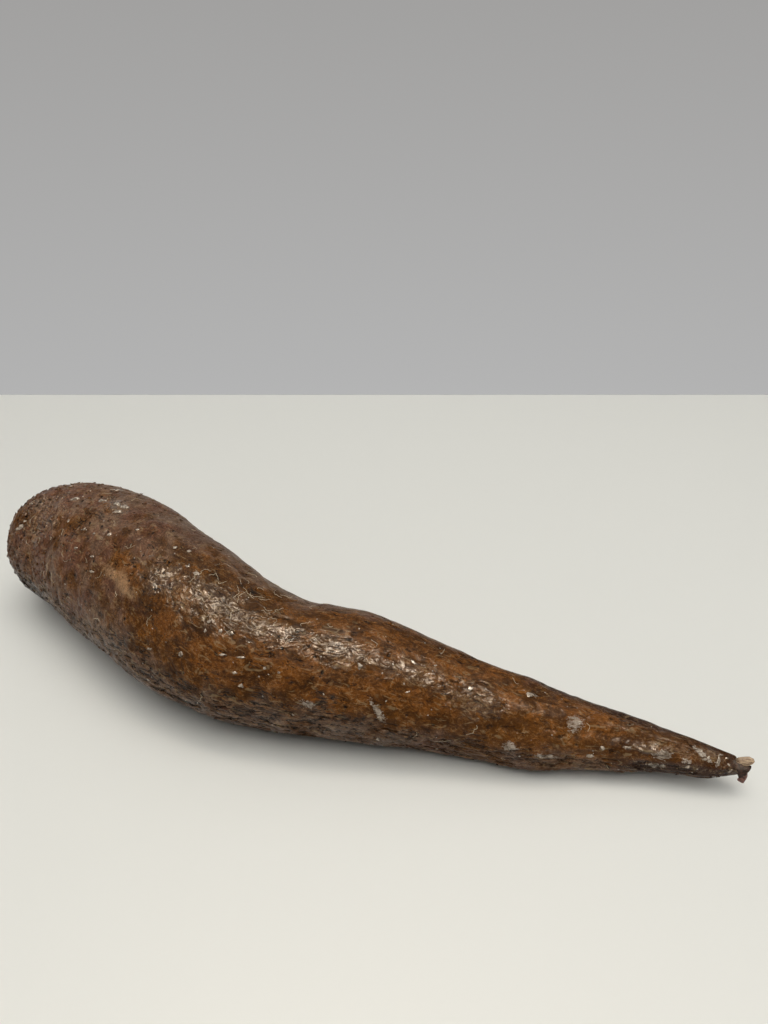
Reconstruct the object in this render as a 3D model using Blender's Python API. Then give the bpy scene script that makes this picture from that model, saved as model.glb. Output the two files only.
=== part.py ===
# A whole cassava root as sold: one thick bent storage root, cut from its stem at the
# neck, drawn out to a thin tail and snapped off at the tip.
# Metres, +Z up, resting on z = 0. The neck is towards -X and the tail towards +X.
import math

import bmesh
import bpy
import numpy as np
from mathutils import Vector, noise

MM = 0.001

# Cross-sections down the root, in millimetres from the middle of the neck's dome:
# x, y and height of the centre, breadth across and depth from top to underside.
SECTIONS = (
    (-16.4, 5.8, 29.6, 48.8, 48.4),  # the neck, closed by the dome
    (0, 0, 27.4, 52, 51),
    (17, -3.5, 27.6, 55.5, 54.5),
    (36, -10, 28.4, 57.5, 57),  # the belly, thickest
    (56, -18, 28.2, 57, 56.5),
    (80, -26.5, 26.6, 54.5, 53),
    (97, -30, 25.2, 50, 49),  # the elbow
    (118, -29, 23.2, 45, 45),
    (137, -25.5, 21.6, 42.5, 42),
    (155, -22, 19.4, 38, 37.4),
    (175, -19, 16.2, 32.6, 32.2),
    (195, -16.5, 13.8, 27.6, 27.6),
    (215, -12, 11.4, 21, 20.4),
    (231, -9.5, 10.5, 15.6, 15.4),  # the tail, lifting off the table
    (245, -8.5, 10.8, 10.8, 11.2),
    (254, -7.8, 10.9, 7.4, 7.9),
    (259.2, -7.2, 11.7, 4.8, 5.4),  # the snapped end of the bark
)
RINGS = 118
SIDES = 40

DOME_DEPTH = 18 * MM  # the neck's dome, from its cut face to its full girth
DOME_ROUND = 21.5 * MM  # radius that the dome is turned to
CUT_TILT = 0.16  # how far the neck's cut leans from square, as a slope

# Swellings and dents: x of the centre, turn round the root in degrees (0 faces -Y, 90 is
# the top, 180 faces +Y), rise, reach along the root and reach round it, in millimetres.
SWELLINGS = (
    (12, 100, 0.7, 18, 18),  # shoulder behind the neck
    (-11, 58, 1.9, 8, 14),  # the dome's top, fuller than its near side
    (-14, -14, -2.6, 8, 12),
    (45, -38, -0.5, 32, 15),  # flatter low on the near side of the belly
    (-9, -32, -0.9, 12, 14),
    (62, 100, 0.7, 13, 11),
    (98, 118, 0.7, 10, 12),
    (119, 118, -1.0, 7, 13),  # saddle on the far side, past the elbow
    (137, 116, 1.3, 13, 13),  # swelling past the saddle
    (62, 25, -0.6, 12, 9),
    (84, 75, 0.9, 9, 9),
    (112, 20, -0.6, 12, 8),
    (152, 60, 0.6, 9, 7),
    (172, -20, -0.6, 10, 6),
    (199, -45, 0.7, 7, 4.5),  # knot low on the near side
    (211, 60, 0.5, 7, 4),
    (249, -75, 0.9, 5.5, 4),  # heel under the tail
)

# Folds in the bark: x and turn where each starts, x and turn where it ends, then depth
# and half width in millimetres.
FOLDS = (
    (224, -22, 255, -48, 0.6, 1.3),  # above the heel
    (206, 48, 244, 66, 0.4, 1.3),
    (186, 4, 226, 14, 0.35, 1.5),
    (146, -38, 190, -30, 0.4, 1.8),
    (104, 60, 140, 72, 0.35, 2),
    (20, 118, 52, 104, 0.3, 2.2),
)

# Faint rings where the growing root paused: x, depth and width of each, in millimetres.
GROWTH_RINGS = (
    (22, 0.2, 3),
    (49, 0.25, 3),
    (91, 0.25, 3.5),
    (131, 0.3, 2.6),
    (165, 0.35, 2.6),
    (206, 0.35, 2),
)
RING_SLANT = 1.5 * MM  # how far a growth ring strays along the root as it goes round

LEDGE_X = 208 * MM  # a loose layer of bark thickens up to here and stops short
LEDGE_RUN = 26 * MM
LEDGE_RISE = 0.8 * MM
LEDGE_TURN = -68  # it lies on the near side of the underside
LEDGE_SPREAD = 34

UNEVENNESS = ((26 * MM, 0.8 * MM), (12 * MM, 0.3 * MM), (5.5 * MM, 0.2 * MM))  # wavelength, rise
RELIEF_GIRTH = 12 * MM  # where the root is thinner than this, its relief is less
RIDGES = 7  # lengthwise ridges that the drying tail shows
RIDGE_RISE = 0.45 * MM
RIDGE_START = 150 * MM
RIDGE_FULL = 230 * MM
RIDGE_WAVE = 23 * MM

TORN_EDGE = 1.7 * MM  # how much further the bark's snapped edge reaches below than above
TORN_WAVE = 0.45  # share of that by which the edge is ragged
WOOD_LENGTH = 3.9 * MM  # woody splinter that stands out of the snapped tip
WOOD_LIFT = (0.8 * MM, 2.4 * MM)  # how far it lies over the middle, at its root and at its end
# the splinter's share of length, then half its height and half its thickness there, in millimetres
WOOD_TAPER = ((0.0, 1.3, 1.1), (0.3, 1.6, 1.0), (0.7, 1.5, 0.75), (1.0, 0.4, 0.35))
NECK_CUT = ((0.1, -0.6), (0.17, 0.5), (0.84, 0.6), (0.9, 0.1))  # share of its radius, depth in mm
STRIP_WIDTH = 1.8 * MM  # strip of inner bark that hangs from the tip
STRIP_LENGTH = 5.9 * MM
STRIP_THICKNESS = 0.9 * MM
STRIP_FORWARD = 1.2 * MM  # where it leaves the bark, measured from the middle of the snapped end
STRIP_STEPS = 5
FLAT_SINK = 0.5 * MM  # how far the belly is pressed flat where it rests

UP = Vector((0, 0, 1))


def clear_scene():
    for old in list(bpy.data.objects):
        bpy.data.objects.remove(old, do_unlink=True)


def through(knots, values, at):
    """Smooth curve through the values at the knots, read at other places (cubic Hermite)."""
    steps = np.diff(knots)[:, None]
    slopes = np.diff(values, axis=0) / steps
    inner = (slopes[:-1] * steps[1:] + slopes[1:] * steps[:-1]) / (steps[:-1] + steps[1:])
    tangents = np.vstack([slopes[:1], inner, slopes[-1:]])
    i = np.clip(np.searchsorted(knots, at, side="right") - 1, 0, len(knots) - 2)
    h = steps[i]
    u = (at - knots[i])[:, None] / h
    start = (2 * u**3 - 3 * u**2 + 1) * values[i] + (u**3 - 2 * u**2 + u) * h * tangents[i]
    end = (3 * u**2 - 2 * u**3) * values[i + 1] + (u**3 - u**2) * h * tangents[i + 1]
    return start + end


def centre_line():
    """For each ring: its distance down the root, its centre, half breadth and half depth."""
    table = np.array(SECTIONS) * MM
    gaps = np.linalg.norm(np.diff(table[:, :3], axis=0), axis=1)
    along = np.concatenate([[0], np.cumsum(gaps)])
    places = np.linspace(0, along[-1], RINGS)
    read = through(along, table, places)
    return places, read[:, :3], read[:, 3] / 2, read[:, 4] / 2


def bump(away):
    """1 at no distance, falling smoothly to nothing."""
    return math.exp(-away * away)


def turned(turn, facing):
    """Angle from one direction round the root to another, in degrees from -180 to 180."""
    return (turn - facing + 180) % 360 - 180


def dome(place):
    """Share of the full girth at a distance behind the neck's cut face."""
    short = max(DOME_DEPTH - place, 0)
    return math.sqrt(1 - (short / DOME_ROUND) ** 2)


def swellings(x, turn, girth):
    rise = 0.0
    for middle, facing, height, reach, spread in SWELLINGS:
        across = math.radians(turned(turn, facing)) * girth
        away = math.hypot((x - middle * MM) / (reach * MM), across / (spread * MM))
        rise += height * MM * bump(away)
    return rise


def folds(x, turn, girth):
    rise = 0.0
    for start, first, end, last, depth, width in FOLDS:
        share = (x / MM - start) / (end - start)
        facing = first + (last - first) * share
        across = math.radians(turned(turn, facing)) * girth
        rise -= depth * MM * bump(across / (width * MM)) * bump((2 * share - 1) ** 3)
    return rise


def growth_rings(x, turn):
    """Shallow rings, each deeper on one side than on the other."""
    rise = 0.0
    for number, (middle, depth, width) in enumerate(GROWTH_RINGS):
        fade = 0.55 + 0.45 * math.cos(math.radians(turn - 70 * number))
        slant = RING_SLANT * math.sin(math.radians(turn + 50 * number))
        rise -= depth * MM * fade * bump((x + slant - middle * MM) / (width * MM))
    return rise


def ledge(x, turn):
    """The loose layer of bark under the tail: it thickens slowly, then drops in one step."""
    run = (x - LEDGE_X + LEDGE_RUN) / LEDGE_RUN
    if run <= 0 or run > 1:
        return 0.0
    return LEDGE_RISE * run * run * bump(turned(turn, LEDGE_TURN) / LEDGE_SPREAD)


def ridges(place, turn):
    """Lengthwise ridges, which grow down the tail and wander a little round it."""
    grown = min(max((place - RIDGE_START) / (RIDGE_FULL - RIDGE_START), 0), 1)
    wander = 0.6 * math.sin(place / RIDGE_WAVE) * (1 + 2 * grown)
    return RIDGE_RISE * grown * math.sin(RIDGES * math.radians(turn) + wander)


def uneven(point):
    """Small unevenness of the grown surface, the same on every run."""
    return sum(rise * noise.noise(point / wavelength) for wavelength, rise in UNEVENNESS)


def skin_ring(row, place, centre, forward, half_breadth, half_depth):
    """One ring of surface points round the centre line."""
    side = forward.cross(UP).normalized()  # towards -Y
    up = side.cross(forward)
    share = dome(place)
    girth = (half_breadth + half_depth) / 2
    relief = min(1, girth * share / RELIEF_GIRTH)
    lean = CUT_TILT * half_depth * share * max(0, 1 - place / DOME_DEPTH)
    torn = TORN_EDGE * max(0, 1 - (RINGS - 1 - row) / 2)
    x = centre.x
    ring = []
    for number in range(SIDES):
        turn = 360 * number / SIDES
        c, s = math.cos(math.radians(turn)), math.sin(math.radians(turn))
        out = (side * (c * half_breadth) + up * (s * half_depth)) * share
        ragged = torn * (TORN_WAVE * math.sin(3 * math.radians(turn) + 1) - s)
        point = centre + out + forward * (lean * s + ragged)
        rise = swellings(x, turn, girth) + folds(x, turn, girth) + growth_rings(x, turn)
        rise += ledge(x, turn) + (uneven(point) + ridges(place, turn)) * relief
        ring.append(point + out.normalized() * (rise * min(1, share * 1.2)))
    return ring


def skin_rings():
    """Rings of surface points from the neck's cut to the snapped end of the bark."""
    places, centres, breadths, depths = centre_line()
    tangents = np.gradient(centres, axis=0)
    return [
        skin_ring(row, places[row], Vector(centres[row]), Vector(tangents[row]).normalized(),
                  breadths[row], depths[row])
        for row in range(RINGS)
    ]


def middle_of(ring):
    return sum(ring, Vector()) / len(ring)


def inner_ring(ring, share, lift, forward):
    """A ring's points drawn in towards their middle and moved along the root."""
    middle = middle_of(ring)
    return [middle + (point - middle) * share + forward * lift for point in ring]


def cap_neck(rings):
    """Rings of the neck's cut face, from the middle out: core fibres, flesh, then bark."""
    inwards = (middle_of(rings[1]) - middle_of(rings[0])).normalized()
    return [inner_ring(rings[0], share, depth * MM, inwards) for share, depth in NECK_CUT]


def cap_tip(rings):
    """Rings of the snapped tip: the bark's edge turned in, then the woody splinter."""
    end = rings[-1]
    middle = middle_of(end)
    forward = (middle - middle_of(rings[-3])).normalized()
    side = forward.cross(UP).normalized()
    up = side.cross(forward)
    caps = [inner_ring(end, 0.72, -0.3 * MM, forward)]
    turns = [2 * math.pi * number / SIDES for number in range(SIDES)]
    for share, height, thickness in WOOD_TAPER:
        lift = WOOD_LIFT[0] + (WOOD_LIFT[1] - WOOD_LIFT[0]) * share
        centre = middle + forward * (share * WOOD_LENGTH) + up * lift
        wide, high = side * (thickness * MM), up * (height * MM)
        caps.append([centre + wide * math.cos(a) + high * math.sin(a) for a in turns])
    return caps


def settled(point):
    """Presses what would lie under the table's surface flat against it."""
    return Vector((point.x, point.y, max(point.z - FLAT_SINK, 0)))


def closed_skin(rings):
    """One closed mesh through rings of the same number of points, flat at both ends."""
    sides = len(rings[0])
    shell = bmesh.new()
    rows = [[shell.verts.new(point) for point in ring] for ring in rings]
    for first, second in zip(rows, rows[1:]):
        for number in range(sides):
            after = (number + 1) % sides
            shell.faces.new((first[number], second[number], second[after], first[after]))
    shell.faces.new(rows[0])
    shell.faces.new(rows[-1])
    bmesh.ops.recalc_face_normals(shell, faces=shell.faces)
    return shell


def strip_rings(end, forward):
    """Rings of the inner bark's strip: a short ribbon that leaves the tip and curls down."""
    side = forward.cross(UP).normalized()
    across = (forward + side * 0.5).normalized() * (STRIP_WIDTH / 2)
    thick = UP.cross(across).normalized() * (STRIP_THICKNESS / 2)
    rings = []
    for number in range(STRIP_STEPS + 1):
        share = number / STRIP_STEPS
        curl = forward * (0.6 * MM * math.sin(math.radians(35 + 75 * share)) + STRIP_FORWARD)
        middle = end + curl - UP * (share * STRIP_LENGTH + 0.2 * MM) + side * (0.5 * MM * share)
        rings.append([middle - across - thick, middle + across - thick,
                      middle + across + thick, middle - across + thick])
    return rings


def as_object(name, shape):
    mesh = bpy.data.meshes.new(name)
    shape.to_mesh(mesh)
    shape.free()
    made = bpy.data.objects.new(name, mesh)
    bpy.context.scene.collection.objects.link(made)
    return made


def unite(root, extra):
    """Makes the extra piece one body with the root, and removes the extra object."""
    union = root.modifiers.new("union", "BOOLEAN")
    union.operation = "UNION"
    union.object = extra
    bpy.context.view_layer.update()
    graph = bpy.context.evaluated_depsgraph_get()
    mesh = bpy.data.meshes.new_from_object(root.evaluated_get(graph))
    root.modifiers.remove(union)
    root.data = mesh
    bpy.data.objects.remove(extra, do_unlink=True)


def centre_over_origin(root):
    corners = np.array([vertex.co for vertex in root.data.vertices])
    middle = (corners.min(axis=0) + corners.max(axis=0)) / 2
    for vertex in root.data.vertices:
        vertex.co -= Vector((middle[0], middle[1], 0))
    root.data.update()


def bark_material():
    bark = bpy.data.materials.new("waxed_bark")
    bark.use_nodes = True
    shader = bark.node_tree.nodes["Principled BSDF"]
    shader.inputs["Base Color"].default_value = (0.14, 0.065, 0.03, 1)
    shader.inputs["Roughness"].default_value = 0.42
    return bark


def main():
    clear_scene()
    skin = skin_rings()
    rings = [[settled(point) for point in ring] for ring in cap_neck(skin) + skin + cap_tip(skin)]
    root = as_object("cassava_root", closed_skin(rings))
    end = settled(middle_of(skin[-1]))
    forward = (end - settled(middle_of(skin[-4]))).normalized()
    unite(root, as_object("strip", closed_skin(strip_rings(end, forward))))
    centre_over_origin(root)
    root.data.materials.clear()
    root.data.materials.append(bark_material())
    root.data.shade_smooth()
    root.data.set_sharp_from_angle(angle=math.radians(50))


main()
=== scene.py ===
import math
from functools import partial

import bmesh
import bpy
import numpy as np
from mathutils import Matrix, Vector, noise


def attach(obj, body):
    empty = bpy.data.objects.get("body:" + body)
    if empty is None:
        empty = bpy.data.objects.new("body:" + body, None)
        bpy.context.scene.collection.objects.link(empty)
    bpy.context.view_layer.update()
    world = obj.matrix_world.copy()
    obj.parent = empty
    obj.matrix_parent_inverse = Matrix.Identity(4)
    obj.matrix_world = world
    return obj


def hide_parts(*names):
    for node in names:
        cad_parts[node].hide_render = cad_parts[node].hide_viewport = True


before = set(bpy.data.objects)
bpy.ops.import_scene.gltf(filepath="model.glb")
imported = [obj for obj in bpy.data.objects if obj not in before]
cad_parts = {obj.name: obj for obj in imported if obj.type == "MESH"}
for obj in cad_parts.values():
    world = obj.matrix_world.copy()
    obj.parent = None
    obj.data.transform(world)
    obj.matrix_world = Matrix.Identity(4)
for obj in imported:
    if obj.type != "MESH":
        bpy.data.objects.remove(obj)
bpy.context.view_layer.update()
print("frame loaded")

mm = 0.001
eased = {"interpolation_type": "SMOOTHSTEP"}
asColour = {"out": 2, "data_type": "RGBA"}
asVector = {"data_type": "FLOAT_VECTOR"}


def linear(hexColour):
    # sRGB hex to the linear values that sockets take
    parts = [int(hexColour[i:i + 2], 16) / 255 for i in (1, 3, 5)]
    return tuple(c / 12.92 if c <= 0.04045 else ((c + 0.055) / 1.055) ** 2.4 for c in parts) + (1.0,)


def plug(tree, node, inputs):
    # links inputs to other nodes or sets them to plain values, by their names or in their order
    for name, value in inputs.items() if isinstance(inputs, dict) else enumerate(inputs):
        if isinstance(value, bpy.types.NodeSocket):
            tree.links.new(value, node.inputs[name])
        else:
            node.inputs[name].default_value = value


def addNode(tree, kind, inputs=(), operation=None, out=0, **settings):
    # adds one node with its settings and links, and gives back one of its outputs
    family = next(f for f in ("ShaderNode", "GeometryNode", "FunctionNode") if hasattr(bpy.types, f + kind))
    made = tree.nodes.new(family + kind)
    if operation:
        made.operation = operation
    for name, value in settings.items():
        setattr(made, name, value)
    plug(tree, made, inputs)
    return made.outputs[out]


def newMaterial(name):
    made = bpy.data.materials.new(name)
    made.use_nodes = True
    return made, made.node_tree, made.node_tree.nodes["Principled BSDF"]


def placed(name, data):
    made = bpy.data.objects.new(name, data)
    bpy.context.scene.collection.objects.link(made)
    return made


view = {
    "place": (99.8 * mm, -186.1 * mm, 196 * mm),
    "heading": 22.0,  # degrees to the left of +Y
    "pitch": 30.0,  # degrees down
    "lens": 27.0,
    "sensor": 36.0,
    "near": 10 * mm,
}


def addCamera():
    camera = placed("camera", bpy.data.cameras.new("camera"))
    camera.data.lens = view["lens"]
    camera.data.sensor_width = view["sensor"]
    camera.data.clip_start = view["near"]
    camera.location = view["place"]
    camera.rotation_euler = (math.radians(90 - view["pitch"]), 0, math.radians(view["heading"]))
    bpy.context.scene.camera = camera


room = {
    "farEdge": 502 * mm,  # table's back edge, measured along the view from under the camera
    "reach": 3.0,
    "table": "#e0e1dd",
    "dullness": (0.5, 0.6),
    "cloudsToMetre": 14.0,
    "wallLow": "#b4b4b4",
    "wallHigh": "#a2a1a0",
    "wallSpan": (-0.36, 0.06),  # steepness of the look at its foot and at its top
    "bounce": 0.5,  # share of the wall's light that falls back on the table
    # name, sideways, along the view, height, width, length, turn, tilt, watts, colour, what it does
    "lamps": (
        ("strip", -0.08, 0.22, 1.2, 1.3, 0.3, -20.0, 0.0, 11.0, "#ffead2", "gloss"),
        ("key", -0.05, 0.2, 1.2, 0.5, 0.13, -20.0, 0.0, 36.0, "#ffecd0", "gloss"),
        ("side", 0.45, 0.03, 1.2, 0.2, 0.16, 0.0, 0.0, 14.0, "#ffead2", "gloss"),
        ("window", 0.12, -0.2, 1.4, 1.4, 1.4, 0.0, 15.0, 17.9, "#fffdf8", "light"),
        ("ceiling", -0.25, 0.55, 1.6, 2.6, 2.4, 0.0, 0.0, 6.5, "#fffdf8", "light"),
    ),
}


def addTable(eye, turn):
    reach, far = room["reach"], room["farEdge"]
    corners = [(-reach, -reach, 0), (reach, -reach, 0), (reach, far, 0), (-reach, far, 0)]
    mesh = bpy.data.meshes.new("table")
    mesh.from_pydata([eye + turn @ Vector(c) for c in corners], [], [(0, 1, 2, 3)])
    table = placed("table", mesh)
    # pale laminate board: smooth and slightly dull, its gloss a little uneven
    board, tree, shader = newMaterial("paleLaminate")
    where = addNode(tree, "TexCoord", out=3)
    cloud = addNode(tree, "TexNoise", {"Vector": where, "Scale": room["cloudsToMetre"], "Detail": 4.0})
    rough = addNode(tree, "MapRange", (cloud, 0.0, 1.0, *room["dullness"]))
    plug(tree, shader, {"Base Color": linear(room["table"]), "Roughness": rough, "Specular IOR Level": 0.25})
    mesh.materials.append(board)


def addLamps(eye, turn):
    for name, sideways, away, height, width, length, slant, tilt, watts, colour, task in room["lamps"]:
        lamp = bpy.data.lights.new(name, "AREA")
        lamp.shape = "RECTANGLE"
        lamp.size, lamp.size_y = width, length
        lamp.energy = watts
        lamp.color = linear(colour)[:3]
        made = placed(name, lamp)
        made.location = eye + turn @ Vector((sideways, away, height))
        made.rotation_euler = (math.radians(tilt), 0, math.radians(view["heading"] + slant))
        made.visible_glossy = task == "gloss"
        made.visible_diffuse = task == "light"


def addWall():
    # plain grey wall, a little darker towards the top, that lights the table less than it shows
    world = bpy.data.worlds.new("room")
    bpy.context.scene.world = world
    world.use_nodes = True
    tree = world.node_tree
    add = partial(addNode, tree)
    rise = add("SeparateXYZ", (add("TexCoord"),), out=2)
    rise = add("MapRange", (rise, *room["wallSpan"]))
    grey = add("Mix", {0: rise, 6: linear(room["wallLow"]), 7: linear(room["wallHigh"])}, **asColour)
    power = add("MapRange", (add("LightPath", out=2), 0.0, 1.0, 1.0, room["bounce"]))
    plug(tree, tree.nodes["Background"], {"Color": grey, "Strength": power})


def addRoom():
    eye = Vector((view["place"][0], view["place"][1], 0))
    turn = Matrix.Rotation(math.radians(view["heading"]), 4, "Z")
    addTable(eye, turn)
    addLamps(eye, turn)
    addWall()
    bpy.context.scene.view_settings.view_transform = "Standard"


addCamera()
addRoom()
print("camera and room in place")


rootShape = {
    "levels": 2,
    "window": 3.2 * mm,  # half slice of the root that gives each point of its axis
    "step": 2 * mm,
    "merge": 0.002 * mm,
    "fold": 50.0,  # most degrees between and within the triangles that make a quad
    "skew": 60.0,
}


def meshArray(mesh, name="co"):
    # the places, normals or a note of all points, a row for each
    values = np.empty(len(mesh.vertices) * 3, np.float32)
    if name in ("co", "normal"):
        mesh.vertices.foreach_get(name, values)
    else:
        mesh.attributes[name].data.foreach_get("vector", values)
    return values.reshape(-1, 3).astype(float)


def addNote(mesh, name, values):
    # writes a number or a vector on each point
    kind, field = ("FLOAT", "value") if values.ndim == 1 else ("FLOAT_VECTOR", "vector")
    attribute = mesh.attributes.new(name, kind, "POINT")
    attribute.data.foreach_set(field, values.astype(np.float32).ravel())


def unrolled(mesh):
    # for each point, millimetres along the root and out from its axis, and degrees round it
    along, front, top = (meshArray(mesh, "straight") / mm).T
    return along, np.hypot(front, top), np.degrees(np.arctan2(top, front))


def offsets(flat, along, angle):
    # millimetres lengthwise and round the root from a place on it to each point
    return flat[0] - along, np.radians((flat[2] - angle + 180) % 360 - 180) * flat[1]


def rootAxis(points):
    # middle of each slice across x, smoothed, and the distance run along it
    xs = np.arange(points[:, 0].min(), points[:, 0].max(), rootShape["step"])
    middles = []
    for x in xs:
        slab = points[abs(points[:, 0] - x) < rootShape["window"]][:, 1:]
        middles.append((slab.min(axis=0) + slab.max(axis=0)) / 2)
    padded = np.pad(np.array(middles), ((2, 2), (0, 0)), mode="edge")
    smooth = np.array([padded[i:i + 5].mean(axis=0) for i in range(len(xs))])
    slope = np.gradient(smooth, rootShape["step"], axis=0)
    pace = np.sqrt(1 + (slope ** 2).sum(axis=1))
    along = np.concatenate([[0], np.cumsum((pace[1:] + pace[:-1]) / 2) * rootShape["step"]])
    return xs, smooth, slope, along


def coarseSkin(node):
    # the CAD node's triangles merged and paired into quads, with three notes on each point:
    # its place if the root were straight, which way it faces round the root, and which way the root runs
    mesh = bpy.data.meshes.new("coarseSkin")
    shell = bmesh.new()
    shell.from_mesh(node.data)
    bmesh.ops.remove_doubles(shell, verts=shell.verts, dist=rootShape["merge"])
    fold, skew = (math.radians(rootShape[name]) for name in ("fold", "skew"))
    bmesh.ops.join_triangles(shell, faces=shell.faces, angle_face_threshold=fold, angle_shape_threshold=skew)
    shell.to_mesh(mesh)
    shell.free()
    points = meshArray(mesh)
    xs, middles, slope, along = rootAxis(points)
    middle = np.stack([np.interp(points[:, 0], xs, middles[:, i]) for i in (0, 1)], axis=1)
    lean = np.stack([np.interp(points[:, 0], xs, slope[:, i]) for i in (0, 1)], axis=1)
    straight = np.stack([np.interp(points[:, 0], xs, along),
                         middle[:, 0] - points[:, 1], points[:, 2] - middle[:, 1]], axis=1)
    girth = np.maximum(np.hypot(straight[:, 1], straight[:, 2]), 1e-6)[:, None]
    addNote(mesh, "straight", straight)
    addNote(mesh, "belt", np.concatenate([straight[:, :1] / along[-1], straight[:, 1:] / girth], axis=1))
    run = np.concatenate([np.ones((len(points), 1)), lean], axis=1)
    addNote(mesh, "run", run / np.linalg.norm(run, axis=1)[:, None])
    return mesh


bark = {  # sizes in millimetres of what grows in the bark
    "sway": 6.5,
    "swayReach": 2.2,
    "crinkle": 2.9,
    "swell": 4.0,
    "fine": 0.8,
    "blotch": 4.0,
    "bend": 118.0,  # where the pattern starts to draw out
    "tailDraw": 0.35,  # share by which the pattern is drawn out past the bend
    "scale": 2.6,
    "pit": 3.2,
    "pitSize": 0.23,  # share of the spacing
    "dot": 1.7,
    "dotSize": 0.2,
    "fibres": 46.0,  # radians of wave that their pattern makes, like hairs and strands
    "fibreSwing": 14.0,  # and what the blotches add
    "crack": 1.8,
    "crackStretch": 8.0,
    "crackSpread": 6.0,
    "patch": 10.0,
    "film": 13.0,
    "lump": 9.0,
    "hairs": 70.0,
    "strand": 3.2,
    "strandStretch": 4.5,
    "strands": 22.0,
    "speck": 2.4,
    "speckSize": 0.15,
}


def addUp(add, total, *parts):
    # a field with others on top, each times its amount
    for field, amount in parts:
        total = add("Math", (field, amount, total), "MULTIPLY_ADD")
    return total


def zonesOfRoot(add, belt):
    # how much each point belongs to the fat end, the tail, the underside and the back
    share, front, top = (add("SeparateXYZ", (belt,), out=axis) for axis in range(3))
    zones = {}
    for name, field, start, full in (
            ("fatEnd", share, 0.36, 0.14), ("shoulder", share, 0.4, 0.27), ("tail", share, 0.5, 0.85),
            ("under", top, 0.5, -0.25), ("back", front, 0.0, -0.45)):
        zones[name] = add("MapRange", (field, start, full), **eased)
    return zones


def windingLine(add, field, level, width):
    # 1 on the contour where a field passes a level, 0 a little way off it
    gap = add("Math", (field, level), "SUBTRACT")
    gap = add("Math", (gap,), "ABSOLUTE")
    return add("MapRange", (gap, width, 0.0), **eased)


def dimples(add, place, spacing, size, odds):
    # round spots near the middles of random cells, in the share of the cells that odds gives
    gap, draw = (add("TexVoronoi", {"Vector": place, "Scale": 1 / spacing}, out=number) for number in (0, 1))
    draw = add("SeparateXYZ", (draw,), out=1)
    kept = add("Math", (draw, odds), "LESS_THAN")
    spot = add("MapRange", (gap, size, size * 0.4), **eased)
    return add("Math", (spot, kept), "MULTIPLY")


def barkPattern(add, straight, belt):
    # one pattern for both the geometry and the material, in millimetres along the straightened root
    place = add("VectorMath", (straight, (1000, 1000, 1000)), "MULTIPLY")
    sway = add("TexNoise", {"Vector": place, "Scale": 1 / bark["sway"], "Detail": 2.0}, out=1)
    sway = add("VectorMath", (sway, (0.5, 0.5, 0.5)), "SUBTRACT")
    bent = add("VectorMath", (sway, (bark["swayReach"],) * 3, place), "MULTIPLY_ADD")
    found = {"bent": bent, **zonesOfRoot(add, belt)}
    # small scales of outer bark, each at its own height and tilt
    colour, middle = (add("TexVoronoi", {"Vector": bent, "Scale": 1 / bark["scale"]}, out=number)
                      for number in (1, 2))
    found["scaleTone"] = add("SeparateXYZ", (colour,))
    lean = add("VectorMath", (colour, (0.5, 0.5, 0.5)), "SUBTRACT")
    reach = add("VectorMath", (bent, middle), "SUBTRACT")
    found["scaleTilt"] = add("VectorMath", (lean, reach), "DOT_PRODUCT", out=1)
    # curled wrinkles of wax and dried skin, drawn out a little lengthwise past the bend
    past = add("SeparateXYZ", (bent,))
    past = add("Math", (past, bark["bend"]), "SUBTRACT")
    past = add("Math", (past, 0.0), "MAXIMUM")
    past = add("CombineXYZ", (past,))
    drawn = add("VectorMath", (past, (-bark["tailDraw"],) * 3, bent), "MULTIPLY_ADD")
    # after the wrinkles broad unevenness, worn patches and the grey film
    for name, where, detail, rough, swirl in (
            ("crinkle", drawn, 2.0, 0.5, 1.1), ("fine", drawn, 3.0, 0.65, 0.8),
            ("blotch", drawn, 6.0, 0.78, 0.5), ("lump", bent, 2.0, 0.5, 0.0),
            ("patch", bent, 5.0, 0.6, 0.0), ("film", bent, 5.0, 0.6, 0.0)):
        found[name] = add("TexNoise", {"Vector": where, "Scale": 1 / bark[name], "Detail": detail,
                                       "Roughness": rough, "Distortion": swirl})
    # pits where rootlets broke off, most of them at the fat end and low down
    outside = add("Math", (found["fatEnd"], found["under"]), "MAXIMUM")
    odds = add("MapRange", (outside, 0.0, 1.0, 0.15, 0.8))
    found["pit"] = dimples(add, bent, bark["pit"], bark["pitSize"], odds)
    # cracks and fine fibres that run lengthwise, the cracks mostly low on the sides
    runs = {}
    for name, detail, rough in (("crack", 3.0, 0.55), ("strand", 1.5, 0.4)):
        long = add("VectorMath", (bent, (1 / bark[name + "Stretch"], 1.0, 1.0)), "MULTIPLY")
        runs[name] = add("TexNoise", {"Vector": long, "Scale": 1 / bark[name], "Detail": detail,
                                      "Roughness": rough})
    spread = add("TexNoise", {"Vector": bent, "Scale": 1 / bark["crackSpread"], "Detail": 2.0})
    spread = add("Math", (found["under"], 0.26, spread), "MULTIPLY_ADD")
    width = add("MapRange", (spread, 0.55, 0.72, 0.0, 0.055))
    found["crack"] = windingLine(add, runs["crack"], 0.5, width)
    # matted fibres, as winding lines that follow the wrinkles, the film or the run of the root
    waves = {}
    for name, field in (("fibre", found["crinkle"]), ("hair", found["film"]), ("strand", runs["strand"])):
        waves[name] = add("Math", (field, bark[name + "s"]), "MULTIPLY")
    waves["fibre"] = add("Math", (found["blotch"], bark["fibreSwing"], waves["fibre"]), "MULTIPLY_ADD")
    for name, wave in waves.items():
        found[name] = add("Math", (wave,), "SINE")
    for name, start in (("hair", 0.965), ("strand", 0.86)):
        found[name] = add("MapRange", (found[name], start, 1.0))
    return found


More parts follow.
